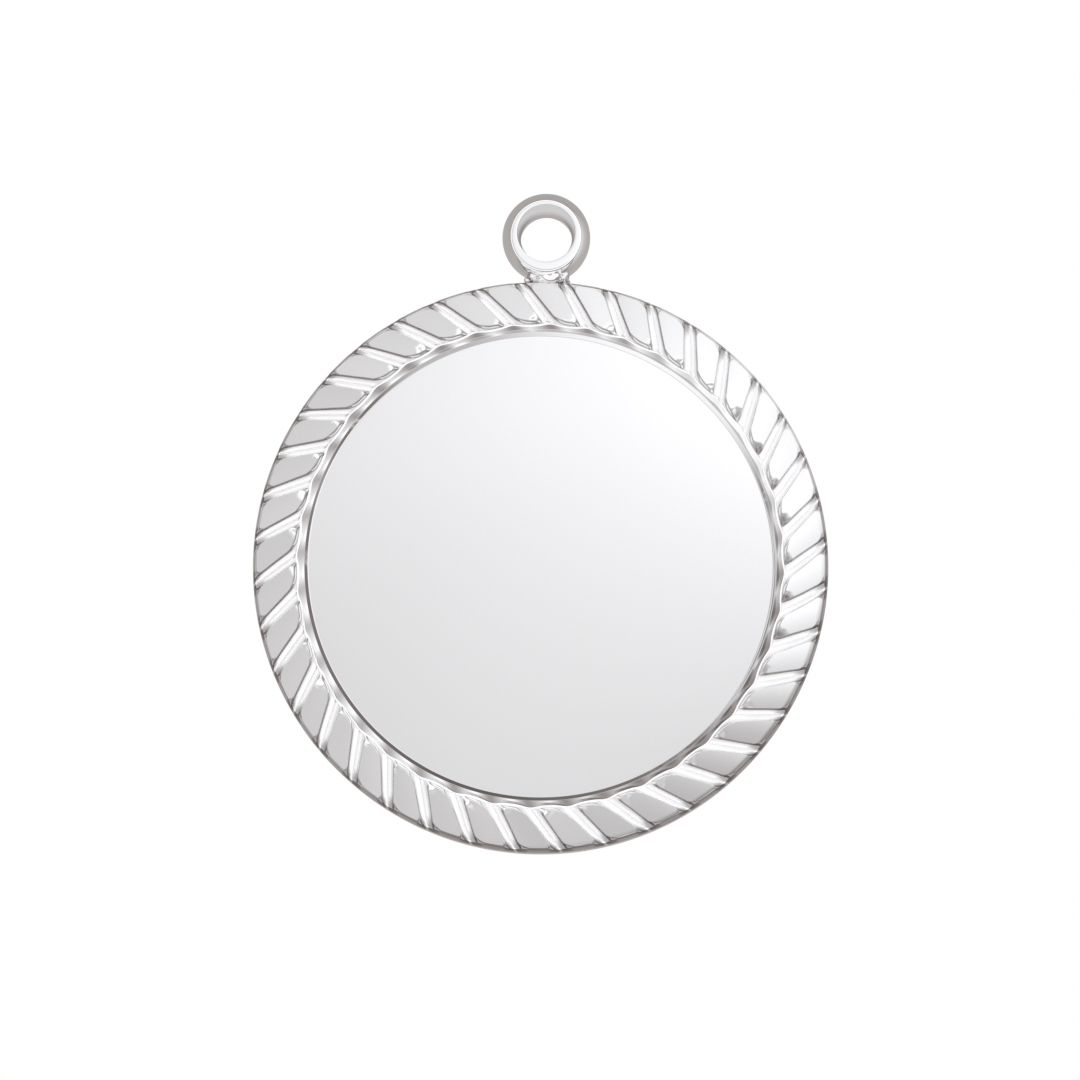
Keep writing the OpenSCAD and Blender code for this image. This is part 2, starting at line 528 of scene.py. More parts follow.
        # The edge of the facet is wavy, in another way on each lobe
        cut += 0.14 * MM * noise.noise(Vector((spot.x, spot.y, 2 * MM * lobe)) / (0.3 * MM))
        return max(cut - (r - self.inner) - 0.8 * (after - self.half_width(r)), 0.0)

    def lobe_top(self, spot, lobe):
        """Height of the top of a lobe at a spot."""
        r = spot.length
        before, after = self.distances(spot, lobe)
        out = r - self.middle
        across = (before - after) / 2
        z = self.top - self.crown_drop + self.uneven(lobe, "height")
        z -= out * self.lean + across * across / (2 * self.pillow)
        z += across * self.uneven(lobe, "tilt across") + out * self.uneven(lobe, "tilt outwards")
        cut = self.facet_cut(spot, lobe)
        # The facet bends down softly over this distance
        onset = 0.16 * MM
        return z - self.facet_slope * (cut * cut / (2 * onset) if cut < onset else cut - onset / 2)


def disc_section(border, disc):
    """Half section from the edge of the field, over the border and the side, to the edge of the back."""
    near = 0.006 * MM
    # Each row is where a run of rings starts, and how many steps it has
    runs = [
        (border.field_r - 0.03 * MM, 1),
        (border.field_r, 1),
        (border.field_r + near, 2),
        (border.terrace_r - near, 1),
        (border.terrace_r, 1),
        (border.terrace_r + near, 1),
        (border.bevel_r - near, 1),
        (border.bevel_r, 1),
        (border.bevel_r + near, 2),
        (border.ledge_r - near, 1),
        (border.ledge_r, 5),
        (border.inner, 6),
        (border.inner + 0.3 * MM, 8),
        (border.shoulder_in, 9),
        (border.radius, 0),
    ]
    rows = []
    for (start, steps), (stop, _) in zip(runs, runs[1:]):
        rows += spaced(start, stop, steps)
    front = [(r, disc.height) for r in rows] + [(disc.radius, border.shoulder_height)]
    back_r = disc.radius - disc.edge
    back = arc((back_r, disc.edge), disc.edge, 0, -90, 5) + [(back_r - 0.1 * MM, 0.0)]
    return front + back


def border_height(border, r, spot, past, angle):
    """Height of the turned disc at a spot: its field, its bevels, its ledge and its grooves."""
    if r <= border.field_r:
        return border.field
    grain = 0.005 * MM * noise.noise(spot / (0.2 * MM)) * border.unevenness
    z = border.floor(r, past) + grain * ease((r - border.terrace_r) / (0.2 * MM))
    z -= border.soft_bevel(r, past, angle)
    return soft_min(z, border.groove_end(r, angle), 0.03 * MM)


def step_shade(border, r, before, past, angle):
    """Painted shade on the low bevel, on the terrace or on the high bevel, which changes with the direction
    round the disc as the light falls.
    """
    if r < border.terrace_r + MERGE:
        level = 0.27 - 0.14 * math.cos(angle - math.radians(15))
        return varied(level, angle, (0.35, 103, 30), (0.22, 195, 30), (0.45, 342, 20))
    level = varied(0.6, angle, (0.28, 130, 38), (-0.3, 240, 60))
    level += (varied(0.95, angle, (-0.3, 255, 55)) - level) * border.leaving(past)
    level *= varied(1.0, angle, (-0.85, 55, 25))
    # A painted highlight, a bright dash with less painted shade, is left a little past the end of each
    # groove
    highlight = (1 - nearness(angle, 145, 35)) * bell(before - 0.42 * MM, 0.2 * MM)
    if r < border.bevel_r + MERGE:
        return level * (1 - highlight) * varied(1.0, angle, (-0.75, 10, 45))
    return level * (1 - 0.5 * highlight)


def groove_shade(border, r, past):
    """Painted shade along both sides of a groove towards its outer end, wider along the lobe before it."""
    before = 1.0 if past < 0 else 0.0
    run = (0.3 + 0.25 * before) * MM
    tip = ease((r - border.shoulder_in + run) / run)
    off_middle = abs(past) / border.half_width(r)
    return 0.75 * tip * ease((off_middle - 0.75 + (0.5 + 0.3 * before) * tip) / 0.4)


def press_border(bm, border):
    """Moves the points of the turned disc into the sunk field, the bevels, the ledge and the grooves."""
    shade_and_tarnish = bm.verts.layers.float.new(SHADE_AND_TARNISH)
    cast = bm.verts.layers.float.new(CAST)
    total = border.columns * border.lobes
    for vert in bm.verts:
        r = math.hypot(vert.co.x, vert.co.y)
        column = round(math.atan2(vert.co.x, vert.co.y) / (2 * math.pi) * total) % total
        lobe, place = divmod(column, border.columns)
        turned = (lobe + border.spread(place)) * border.pitch
        angle = turned + border.start + border.skew(r)
        z = vert.co.z
        if z > border.shoulder_height + MERGE:
            spot = r * Vector((math.sin(angle), math.cos(angle), 0))
            before, after = border.distances(spot, lobe)
            past = before if before < after else -after
            z = border_height(border, r, spot, past, angle)
            # Painted shade on the bevels, and along the sides of the grooves
            if border.field_r - MERGE < r < border.ledge_r + MERGE:
                vert[shade_and_tarnish] = step_shade(border, r, before, past, angle)
            else:
                vert[shade_and_tarnish] = groove_shade(border, r, past)
            unpolished = ease((r - border.ledge_r) / (0.15 * MM))
            vert[cast] = unpolished * (1 - ease((r - border.shoulder_in) / (0.1 * MM)))
            r = border.off_centre(border.scalloped(r, past), angle)
        vert.co = (r * math.sin(angle), r * math.cos(angle), z)


# The wall of a lobe from its foot to its top: place on it, share of the height,
# and painted shade on a side, at the inner end and at the rim
WALL = [
    (0.0, 0.0, 0.9, 0.8, 0.25),
    (0.3, 0.34, 1.0, 0.72, 0.25),
    (0.6, 0.67, 0.95, 0.08, 0.28),
    (0.85, 0.92, 0.85, 0.55, 0.4),
    (1.0, 1.0, 0.75, 0.8, 0.6),
    (1.1, 1.0, 0.25, 0.25, 0.5),
]
# Rings on the top of a lobe, as shares of the way from its middle to the last ring of its wall
TOP_RINGS = [0.96, 0.91, 0.85, 0.78, 0.7, 0.61, 0.5, 0.3]


class LobeOutline:
    """Rings of points round the first lobe: up its wall and in over its top."""

    # Points in each ring
    steps = 144
    # Rough half sizes of a lobe, which spread the directions of its points, and the shares of them
    # between which the outline is looked for
    half_long = 1.15 * MM
    half_short = 0.55 * MM
    reach = (0.2, 2.5)
    halvings = 30

    def __init__(self, border):
        self.border = border
        turned = border.start - border.slant + border.pitch / 2
        self.long_way = Vector((math.sin(turned), math.cos(turned), 0))
        self.short_way = Vector((math.cos(turned), -math.sin(turned), 0))
        r = (border.inner + border.outer) / 2
        angle = border.start + border.pitch / 2 + border.skew(r)
        self.middle = r * Vector((math.sin(angle), math.cos(angle), 0))
        self.rings = [[self.edge(step, row[0]) for step in range(self.steps)] for row in WALL]
        self.rim_shares = self.measured(border.rim_share)
        self.corner_shares = self.measured(border.corner_share)
        last = self.rings[-1]
        for part in TOP_RINGS:
            self.rings.append([spot * part for spot in last])
        self.rings.append([Vector()] * self.steps)

    def measured(self, share):
        """A share for each point of the rings on the wall."""
        return [[share(self.middle + spot) for spot in ring] for ring in self.rings]

    def edge(self, step, level):
        """The point in one direction from the middle at a level of the wall, counted from the middle."""
        turned = 2 * math.pi * step / self.steps
        way = self.long_way * math.cos(turned) * self.half_long
        way += self.short_way * math.sin(turned) * self.half_short
        near, far = self.reach
        for _ in range(self.halvings):
            half = (near + far) / 2
            if self.border.up_the_wall(self.middle + way * half) > level:
                near = half
            else:
                far = half
        return way * near

    def facing(self, step):
        """Direction that the wall faces at a point of the outline, clockwise from the way to the ring."""
        ring = self.rings[0]
        along = ring[(step + 1) % self.steps] - ring[step - 1]
        return math.atan2(-along.y, along.x)


class Lobe:
    """Works out where the points of one lobe go, and how much painted shade darkens them."""

    def __init__(self, border, outline, number):
        self.border = border
        self.outline = outline
        self.number = number
        self.turned = Matrix.Rotation(-number * border.pitch, 3, "Z")
        self.long_way = self.turned @ outline.long_way
        self.short_way = self.turned @ outline.short_way
        self.middle = self.turned @ outline.middle
        # The wall starts a little inside the disc, and the bottom of the lobe lies deeper
        self.low = border.foot - 0.05 * MM
        self.bottom = self.low - 0.3 * MM

    def spot(self, level, step):
        """A point of the outline in this lobe's place, moved by what makes this lobe uneven."""
        border = self.border
        spot = self.turned @ self.outline.rings[level][step]
        along, across = spot.dot(self.long_way), spot.dot(self.short_way)
        aside = across * border.uneven(self.number, "width") + border.uneven(self.number, "place")
        spot += self.long_way * along * border.uneven(self.number, "length")
        spot += self.short_way * aside
        spot += self.middle
        # The outline is a little wavy too
        shift = noise.noise_vector(spot / (0.9 * MM)) * 0.012 * MM * border.unevenness
        return spot + Vector((shift.x, shift.y, 0))

    def facet_shade(self, spot, angle):
        """Painted shade on the facets of the lobes at the right, which the light of the tent leaves dark."""
        off_right = abs(math.remainder(angle - math.radians(85), 2 * math.pi))
        shaded = ease((math.radians(42) - off_right) / math.radians(20))
        return shaded * ease(self.border.facet_cut(spot, self.number) / (0.3 * MM))

    def side_shade(self, level, step, r, angle):
        """Painted shade on the wall along the sides of the lobe and at its inner end, stronger or weaker
        with the way the wall faces.
        """
        _, _, on_side, on_end, _ = WALL[level]
        facing = self.outline.facing(step)
        # Direction that the wall faces on the first lobe, in degrees: below nought on one long side
        local = math.degrees(math.remainder(facing, 2 * math.pi))
        facing += self.number * self.border.pitch
        on_side *= 0.15 + 0.85 * ease((math.cos(facing - math.pi) + 0.75) / 1.25)
        if local < 0:
            outwards = ease((r - self.border.middle + 0.1 * MM) / (0.5 * MM))
            on_side *= 1 - 0.75 * nearness(angle, 72, 30) * outwards
        else:
            on_side *= 1 - 0.65 * nearness(angle, 52, 30)
        on_end *= 1 - 0.85 * nearness(angle, 205, 55)
        end = 1 - ease((r - self.border.inner - 0.12 * MM) / (0.2 * MM))
        dull = on_side + (on_end - on_side) * end
        if 0 < local < 100:
            wedge = ease((r - self.border.crease + 0.5 * MM) / (0.4 * MM)) * ease(local / 25)
            dull = max(dull, 0.7 * wedge)
        return dull

    def wall_shade(self, level, step, r, angle):
        """Painted shade on the wall, with the painted dark line of the rim and the two outer corners."""
        dull = self.side_shade(level, step, r, angle)
        on_rim = min(WALL[level][4] * varied(1.0, angle, (0.9, 188, 28), (0.5, 130, 34)), 1)
        # The rim's painted shade is light at the top and at the upper right, where the light falls
        lit = max(0.9 * nearness(angle, 52, 24), 0.75 * nearness(angle, 8, 35))
        blend = dull + (on_rim * (1 - lit) - dull) * self.outline.rim_shares[level][step]
        corner = 0.8 * self.outline.corner_shares[level][step] * (1 - 0.75 * lit)
        return max(blend, corner)

    def top_shade(self, r, angle):
        """Painted shade in a strip along the rim, on the tops of the lobes at the lower right."""
        return 0.65 * nearness(angle, 130, 34) * ease((r - self.border.crease + 0.2 * MM) / (0.12 * MM))


def press_lobe(bm, verts, lobe):
    """Moves the points of a spun button, whose heights count its rings, into the shape of a lobe."""
    shade_and_tarnish = bm.verts.layers.float[SHADE_AND_TARNISH]
    border, outline = lobe.border, lobe.outline
    for vert in verts:
        ring = round(vert.co.z / MM)
        if ring == 0:
            vert.co = lobe.middle + UP * lobe.bottom
            continue
        step = round(math.atan2(vert.co.x, vert.co.y) / (2 * math.pi) * outline.steps) % outline.steps
        level = max(ring - 2, 0)
        spot = lobe.spot(level, step)
        r = min(spot.length, border.outer)
        spot = spot.normalized() * r
        z = border.lobe_top(spot, lobe.number)
        angle = math.atan2(spot.x, spot.y)
        # Painted shade on the facet, and below it on the wall or on the top
        facet_shade = lobe.facet_shade(spot, angle)
        if level < len(WALL):
            climb = WALL[level][1]
            climb += (1 - climb) * outline.rim_shares[level][step]
            z = lobe.low + (z - lobe.low) * climb
            vert[shade_and_tarnish] = max(lobe.wall_shade(level, step, r, angle), 0.85 * facet_shade)
        else:
            vert[shade_and_tarnish] = max(lobe.top_shade(r, angle), 0.9 * facet_shade)
        z = min(z, border.shoulder_top(r, angle))
        vert.co = (spot.x, spot.y, lobe.bottom if ring == 1 else z)


def ring_section(ring):
    """Section of the ring's metal as a closed run of (radius, height) points, from its middle outwards."""
    half = ring.deep / 2
    inner = arc_radius(half + ring.hole_low, ring.flare)
    # The arc of the hole stops this many degrees short of each face, and a lip closes the gap
    gap = 0.7
    front_end = 180 + gap - math.degrees(math.asin((half + ring.hole_low) / inner))
    back_end = 180 - gap + math.degrees(math.asin((half - ring.hole_low) / inner))
    hole = arc((ring.hole + inner, -ring.hole_low), inner, front_end, back_end, 16)
    outer = arc_radius(half, ring.rounding)
    end = math.degrees(math.asin(half / outer) - ring.edge / outer)
    side = arc((ring.radius - outer, 0), outer, 0, end, 20)
    corner = Vector((ring.radius - ring.rounding, half))
    flat = corner - Vector((ring.edge, 0))
    edge = interpolate_bezier(Vector(side[-1]), corner, corner, flat, 10)
    side += [tuple(point) for point in edge[1:]]
    lip = ring.lip

    def face(face_in):
        """Points across a face of the ring, from the outside to the lip of the hole."""
        return [
            ((face_in + flat.x) / 2, half),
            (face_in + lip, half),
            (face_in + 0.3 * lip, half - 0.08 * lip),
            (face_in - 0.1 * lip, half - 0.3 * lip),
        ]

    front = side + face(hole[0][0])
    back = side[1:] + face(hole[-1][0])
    return front + hole + [(r, -z) for r, z in reversed(back)] + side[:1]


def draw_ring(bm, ring):
    """Makes a spun ring a little longer than wide, and lowers the front edge of its outside."""
    face_in = ring.hole + ring.flare
    face_out = ring.radius - ring.rounding
    for vert in bm.verts:
        from_centre = vert.co - Vector((ring.shift, ring.rise, vert.co.z))
        r = from_centre.length
        outside = ease((r - face_in) / (face_out - face_in))
        front = ease(2 * vert.co.z / ring.deep - 1)
        vert.co.y += ring.draw / 2 * (1 + outside * from_centre.y / r) - ring.droop * outside * front


def painted(tree, name):
    """The level of a point attribute of the piece."""
    attribute = tree.nodes.new("ShaderNodeAttribute")
    attribute.attribute_name = name
    return attribute.outputs["Fac"]


def fine_noise(tree, place, scale, detail):
    """The level of a fine noise, of which about scale spots fit in a metre."""
    texture = tree.nodes.new("ShaderNodeTexNoise")
    texture.inputs["Scale"].default_value = scale
    texture.inputs["Detail"].default_value = detail
    tree.links.new(place, texture.inputs["Vector"])
    return texture.outputs["Fac"]


def silver_material(finish):
    """Polished silver: fine scratches, a soft waviness in the polish, and painted shade with thin tarnish in
    the recesses and on the bevels.
    """
    material = bpy.data.materials.new(SILVER)
    material.use_nodes = True
    tree = material.node_tree
    nodes, links = tree.nodes, tree.links
    shader = nodes["Principled BSDF"]
    shader.inputs["Metallic"].default_value = 1.0
    place = nodes.new("ShaderNodeTexCoord").outputs["Object"]

    # Painted shade and tarnish darken the base colour of the silver
    tint = nodes.new("ShaderNodeMix")
    tint.data_type = "RGBA"
    tint.inputs["A"].default_value = (*finish.bright, 1)
    tint.inputs["B"].default_value = (*finish.dull, 1)
    links.new(painted(tree, SHADE_AND_TARNISH), tint.inputs["Factor"])
    links.new(tint.outputs["Result"], shader.inputs["Base Color"])

    polish = nodes.new("ShaderNodeMapRange")
    polish.inputs["To Min"].default_value = finish.roughness * 0.6
    polish.inputs["To Max"].default_value = finish.roughness * 1.6
    links.new(fine_noise(tree, place, 500, 4), polish.inputs["Value"])
    rougher = nodes.new("ShaderNodeMath")
    rougher.operation = "MULTIPLY_ADD"
    rougher.inputs[1].default_value = finish.cast_roughness
    links.new(painted(tree, CAST), rougher.inputs[0])
    links.new(polish.outputs["Result"], rougher.inputs[2])
    links.new(rougher.outputs[0], shader.inputs["Roughness"])

    scratches = nodes.new("ShaderNodeBump")
    scratches.inputs["Strength"].default_value = 0.03
    scratches.inputs["Distance"].default_value = 0.01 * MM
    links.new(fine_noise(tree, place, 9000, 2), scratches.inputs["Height"])
    links.new(scratches.outputs["Normal"], shader.inputs["Normal"])
    return material


def shared_silver():
    """The silver that all the pieces share, made once."""
    return bpy.data.materials.get(SILVER) or silver_material(bpy.context.scene.pendant_silver)


class PENDANT_OT_disc(bpy.types.Operator):
    """Turn the disc and press its sunk field and rope border"""

    bl_idname = "pendant.disc"
    bl_label = "Disc and rope border"

    def execute(self, context):
        scene = context.scene
        border = RopeBorder(scene.pendant_disc, scene.pendant_rope)
        bm = bmesh.new()
        spin_pattern(bm, disc_section(border, scene.pendant_disc), border.columns, border.lobes)
        press_border(bm, border)
        bmesh.ops.recalc_face_normals(bm, faces=bm.faces)
        mesh_piece("disc", bm, shared_silver())
        return {"FINISHED"}


class PENDANT_OT_lobes(bpy.types.Operator):
    """Spin a button for each lobe of the rope border and press it into shape"""

    bl_idname = "pendant.lobes"
    bl_label = "Rope lobes"

    def execute(self, context):
        scene = context.scene
        border = RopeBorder(scene.pendant_disc, scene.pendant_rope)
        # Without a seed of its own, a noise vector differs from run to run
        noise.seed_set(1)
        outline = LobeOutline(border)
        rings = len(outline.rings)
        # Each ring of the button is a step of 1 mm higher than the last, which tells the rings apart
        section = [(0.0, 0.0)]
        section += [((rings - max(ring - 1, 0)) * MM, ring * MM) for ring in range(1, rings + 1)]
        section.append((0.0, (rings + 1) * MM))
        bm = bmesh.new()
        bm.verts.layers.float.new(SHADE_AND_TARNISH)
        spin_section(bm, section, outline.steps)
        first = bm.verts[:] + bm.edges[:] + bm.faces[:]
        buttons = [bm.verts[:]]
        for _ in range(border.lobes - 1):
            copies = bmesh.ops.duplicate(bm, geom=first)["geom"]
            buttons.append([item for item in copies if isinstance(item, bmesh.types.BMVert)])
        for number, verts in enumerate(buttons):
            press_lobe(bm, verts, Lobe(border, outline, number))
        bmesh.ops.recalc_face_normals(bm, faces=bm.faces)
        mesh_piece("rope_lobes", bm, shared_silver())
        return {"FINISHED"}


class PENDANT_OT_ring(bpy.types.Operator):
    """Spin the closed hanging ring"""

    bl_idname = "pendant.ring"
    bl_label = "Hanging ring"

    def execute(self, context):
        ring = context.scene.pendant_ring
        bm = bmesh.new()
        centre = Vector((ring.shift, ring.rise, ring.deep / 2))
        spin_section(bm, ring_section(ring), steps=160, centre=centre)
        draw_ring(bm, ring)
        mesh_piece("hanging_ring", bm, shared_silver())
        return {"FINISHED"}


# Lumps of solder from the ring's foot, in millimetres: place sideways, outwards and up, then half sizes
LUMPS = [
    (0.2, 0.27, 1.68, 0.5, 0.42, 0.44),
    (-0.17, 0.42, 1.74, 0.24, 0.34, 0.3),
    (-0.58, 0.34, 1.6, 0.28, 0.34, 0.34),
    (-0.78, 0.08, 1.4, 0.2, 0.15, 0.26),
    (0.76, 0.34, 1.54, 0.28, 0.36, 0.34),
    (0.84, 0.03, 1.38, 0.2, 0.12, 0.24),
    (0.58, 0.1, 1.62, 0.16, 0.18, 0.24),
    (-0.3, 0.1, 1.56, 0.4, 0.2, 0.34),
    (0.0, 0.05, 1.24, 0.8, 0.24, 0.62),
]


def solder_lumps(foot):
    """The separate lumps of solder, which reach into each other."""
    bm = bmesh.new()
    for side, out, up, wide, deep, high in LUMPS:
        shape = Matrix.Diagonal((wide * MM, deep * MM, high * MM, 1))
        place = Matrix.Translation(foot + Vector((side, out, up)) * MM)
        bmesh.ops.create_icosphere(bm, subdivisions=4, radius=1.0, matrix=place @ shape)
    return bm


def fused_skin(context, piece, step):
    """One smooth skin round all the lumps of a piece, made in steps of a size."""
    fuse = piece.modifiers.new("fuse", "REMESH")
    fuse.mode = "VOXEL"
    fuse.voxel_size = step
    graph = context.evaluated_depsgraph_get()
    fused = bpy.data.meshes.new_from_object(piece.evaluated_get(graph))
    piece.modifiers.clear()
    bm = bmesh.new()
    bm.from_mesh(fused)
    bpy.data.meshes.remove(fused)
    bmesh.ops.smooth_vert(
        bm,
        verts=bm.verts,
        factor=0.5,
        use_axis_x=True,
        use_axis_y=True,
        use_axis_z=True,
    )
    bm.normal_update()
    return bm


def crumple_solder(bm, foot, crumple):
    """Darkens the skin of the solder in mottled patches and with painted shade at its base, and lays it in
    folds, apart from the smooth lump in the middle.
    """
    shade_and_tarnish = bm.verts.layers.float.new(SHADE_AND_TARNISH)
    moves = []
    for vert in bm.verts:
        off_middle = abs(vert.co.x - foot.x - 0.1 * MM)
        # Darker in mottled patches towards the sides, twice as much on the left
        rough = ease((off_middle - 0.25 * MM) / (0.25 * MM))
        side = 1 if vert.co.x < foot.x else 0.5
        mottled = rough * side * (0.4 + 0.4 * noise.noise(vert.co / (0.28 * MM)))
        # Painted shade along the base, where the solder meets the disc
        base = 1 - ease((vert.co.y - foot.y - 0.03 * MM) / (0.12 * MM))
        vert[shade_and_tarnish] = max(mottled, 0.15 * base)
        fold = noise.noise(vert.co / (0.16 * MM))
        moves.append(crumple * (0.03 + 0.97 * rough) * fold)
    for vert, move in zip(bm.verts, moves):
        vert.co += vert.normal * move


class PENDANT_OT_solder(bpy.types.Operator):
    """Fuse the lumps of solder at the foot of the ring"""

    bl_idname = "pendant.solder"
    bl_label = "Solder joint"

    def execute(self, context):
        scene = context.scene
        sizes = scene.pendant_solder
        foot = Vector((scene.pendant_ring.shift, scene.pendant_disc.radius, 0))
        piece = mesh_piece("solder_joint", solder_lumps(foot), shared_silver())
        bm = fused_skin(context, piece, sizes.grain)
        crumple_solder(bm, foot, sizes.crumple)
        fill_mesh(piece.data, bm)
        return {"FINISHED"}


def glowing_material(name, near, far, reach, upright=1.0):
    """A stage material that glows in one colour near the middle, and turns to another towards reach.

    It starts to turn at 0.4 of reach. Distances along Y count as many times as upright says.
    """
    material = bpy.data.materials.new(name)
    material.use_nodes = True
    nodes, links = material.node_tree.nodes, material.node_tree.links
    nodes.clear()
    place = nodes.new("ShaderNodeTexCoord")
    squeeze = nodes.new("ShaderNodeVectorMath")
    squeeze.operation = "MULTIPLY"
    squeeze.inputs[1].default_value = (1.0, upright, 1.0)
    links.new(place.outputs["Object"], squeeze.inputs[0])
    distance = nodes.new("ShaderNodeVectorMath")
    distance.operation = "LENGTH"
    links.new(squeeze.outputs["Vector"], distance.inputs[0])
    fade = nodes.new("ShaderNodeMapRange")
    fade.inputs["From Min"].default_value = 0.4 * reach
    fade.inputs["From Max"].default_value = reach
    links.new(distance.outputs["Value"], fade.inputs["Value"])
    tint = nodes.new("ShaderNodeMix")
    tint.data_type = "RGBA"
    tint.inputs["A"].default_value = (*near, 1)
    tint.inputs["B"].default_value = (*far, 1)
    links.new(fade.outputs["Result"], tint.inputs["Factor"])
    glow = nodes.new("ShaderNodeEmission")
    links.new(tint.outputs["Result"], glow.inputs["Color"])
    out = nodes.new("ShaderNodeOutputMaterial")
    links.new(glow.outputs[0], out.inputs["Surface"])
    return material


def round_floor(name, radius, material, centre=Vector()):
    """A flat round sheet of the stage."""
    bm = bmesh.new()
    bmesh.ops.create_circle(bm, cap_ends=True, segments=96, radius=radius)
    sheet = mesh_piece(name, bm, material, stage=True)
    sheet.location = centre
    return sheet


def shown_only_to(piece, camera):
    """A sheet that the camera sees, or else one that only the polished metal mirrors."""
    piece.visible_camera = camera
    piece.visible_glossy = not camera
    piece.visible_diffuse = False
    piece.visible_transmission = False


class TentNodes:
    """Builds the shader of the light tent, step by step."""

    def __init__(self, world):
        world.use_nodes = True
        self.nodes = world.node_tree.nodes
        self.links = world.node_tree.links
        self.nodes.clear()
        self.direction = self.nodes.new("ShaderNodeTexCoord").outputs["Generated"]

    def along(self, lean):
        """How far the direction points upwards, counted along a leaning axis."""
        dot = self.nodes.new("ShaderNodeVectorMath")
        dot.operation = "DOT_PRODUCT"
        dot.inputs[1].default_value = (*lean, 1.0)
        self.links.new(self.direction, dot.inputs[0])
        return dot.outputs["Value"]

    def away(self, centre):
        """How far the direction lies from a place near the zenith."""
        place = Vector((*centre, 0))
        place.z = math.sqrt(1 - place.length_squared)
        distance = self.nodes.new("ShaderNodeVectorMath")
        distance.operation = "DISTANCE"
        distance.inputs[1].default_value = place
        self.links.new(self.direction, distance.inputs[0])
        return distance.outputs["Value"]

    def change(self, value, first, last, low, high):
        """Turns a value that runs from first to last into a level that runs smoothly from low to high."""
        change = self.nodes.new("ShaderNodeMapRange")
        change.interpolation_type = "SMOOTHSTEP"
        for name, number in (("From Min", first), ("From Max", last), ("To Min", low), ("To Max", high)):
            change.inputs[name].default_value = number
        self.links.new(value, change.inputs["Value"])
        return change.outputs["Result"]

    def join(self, operation, first, second):
        """Joins two levels by a named operation."""
        maths = self.nodes.new("ShaderNodeMath")
        maths.operation = operation
        self.links.new(first, maths.inputs[0])
        self.links.new(second, maths.inputs[1])
        return maths.outputs[0]

    def tint(self, level):
        """Colour of the light: brown where dark, with a hint of pink where dim and of blue where bright."""
        dark = (1.0, 0.91, 0.865, 1)
        dim = (1.0, 0.98, 0.99, 1)
        bright = (0.985, 0.985, 1.003, 1)
        lower = self.nodes.new("ShaderNodeMix")
        lower.data_type = "RGBA"
        lower.inputs["A"].default_value = dark
        lower.inputs["B"].default_value = dim
        self.links.new(self.change(level, 0.25, 0.6, 0.0, 1.0), lower.inputs["Factor"])
        upper = self.nodes.new("ShaderNodeMix")
        upper.data_type = "RGBA"
        upper.inputs["B"].default_value = bright
        self.links.new(lower.outputs["Result"], upper.inputs["A"])
        self.links.new(self.change(level, 0.65, 0.95, 0.0, 1.0), upper.inputs["Factor"])
        return upper.outputs["Result"]

    def finish(self, level):
        """Gives the tent its light, and shows the camera plain white instead."""
        light = self.nodes.new("ShaderNodeBackground")
        self.links.new(self.tint(level), light.inputs["Color"])
        self.links.new(level, light.inputs["Strength"])
        white = self.nodes.new("ShaderNodeBackground")
        white.inputs["Color"].default_value = (1, 1, 1, 1)
        path = self.nodes.new("ShaderNodeLightPath")
        seen = self.nodes.new("ShaderNodeMixShader")
        self.links.new(path.outputs["Is Camera Ray"], seen.inputs[0])
        self.links.new(light.outputs[0], seen.inputs[1])
        self.links.new(white.outputs[0], seen.inputs[2])
        out = self.nodes.new("ShaderNodeOutputWorld")
        self.links.new(seen.outputs[0], out.inputs["Surface"])


# Rows of the light tent. Each is the lean or the place, as shares along X and Y, that a measure is
# taken from, then the two measures between which the light changes, and its level at each.
# The walls are measured by how far up they are, the others by how far off their place they are
WALLS = ((-0.08, 0.0), 0.03, 0.34, 0.27, 1.2)
ROOF = ((-0.16, 0.0), 0.37, 0.46, 0.655, 1.2)
# What is added to the roof: a wide lamp up and to the right, a flag that takes light away, and a glow in it
LAMPS = [
    ((0.076, 0.159), -0.033, 0.276, 0.613, 0.0),
    ((0.037, 0.022), 0.0, 0.181, -0.522, 0.0),
    ((0.005, 0.017), 0.0, 0.138, 0.346, 0.0),
]


def light_tent(world):
    """White tent all round, dark at the horizon and grey overhead, with a lamp up and to the right."""
    tent = TentNodes(world)
    walls = tent.change(tent.along(WALLS[0]), *WALLS[1:])
    roof = tent.change(tent.away(ROOF[0]), *ROOF[1:])
    level = tent.join("MINIMUM", walls, roof)
    for place, *light in LAMPS:
        level = tent.join("ADD", level, tent.change(tent.away(place), *light))
    tent.finish(level)


def aim_camera(stage, middle_height):
    """A camera over the face, tilted to the photo's angle."""
    across, along = math.sin(stage.lean), -math.sin(stage.tilt)
    back = Vector((across, along, math.sqrt(1 - across * across - along * along)))
    data = bpy.data.cameras.new("camera")
    data.lens = data.sensor_width * stage.distance / stage.frame_width
    data.clip_start = stage.distance * 0.05
    data.clip_end = 20.0
    camera = bpy.data.objects.new("camera", data)
    camera.location = Vector((stage.aim_side, stage.aim_up, middle_height)) + back * stage.distance
    side = Vector((0, 1, 0)).cross(back).normalized()
    turned = Matrix((side, back.cross(side), back)).transposed().to_4x4()
    camera.matrix_world = Matrix.Translation(camera.location) @ turned
    bpy.context.scene.collection.objects.link(camera)
    bpy.context.scene.camera = camera


WHITE = (1, 1, 1)
# Sheets that lie over each other on the floor are this far apart
SHEET_GAP = 0.01 * MM


